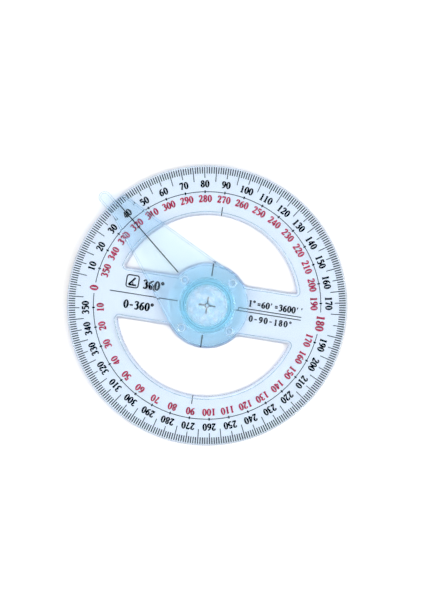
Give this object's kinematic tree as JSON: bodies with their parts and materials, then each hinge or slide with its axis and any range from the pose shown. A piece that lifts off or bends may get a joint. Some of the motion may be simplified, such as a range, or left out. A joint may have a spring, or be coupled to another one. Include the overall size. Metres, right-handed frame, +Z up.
{
  "type": "protractor",
  "caption": "Full-circle clear protractor with degree scales, two half-moon windows, a swinging pointer arm and a domed magnifier over its centre.",
  "frame": {"origin": "centre of the disc's underside, on the arm's pivot axis", "axes": "+Z up out of the printed face, -X towards the 0 mark and +X towards the 180 mark of the base line, +Y towards the 90 mark"},
  "size_m": [0.1, 0.1, 0.0088],
  "materials": {
    "disc_plastic": "clear, pale blue tint, polished moulding",
    "bush_plastic": "clear, pale blue tint, polished moulding",
    "arm_plastic": "clear, light blue tint, polished moulding",
    "housing_plastic": "transparent blue, polished moulding",
    "lens_plastic": "clear, optically polished",
    "rivet_plastic": "transparent light blue, as moulded",
    "black_ink": "screen-printed ink, satin",
    "red_ink": "screen-printed ink, satin"
  },
  "bodies": {
    "disc": {"scale_disc": "disc_plastic", "pivot_bush": "bush_plastic"},
    "arm": {"swing_arm": "arm_plastic", "lens_housing": "housing_plastic", "magnifier_lens": "lens_plastic", "hub_rivet_1": "rivet_plastic", "hub_rivet_2": "rivet_plastic", "hub_rivet_3": "rivet_plastic", "hub_rivet_4": "rivet_plastic"}
  },
  "joints": [
    {"name": "arm_swing", "type": "hinge", "parent": "disc", "child": "arm", "pos_m": [0, 0, 0], "axis": [0, 0, 1], "continuous": true}
  ]
}
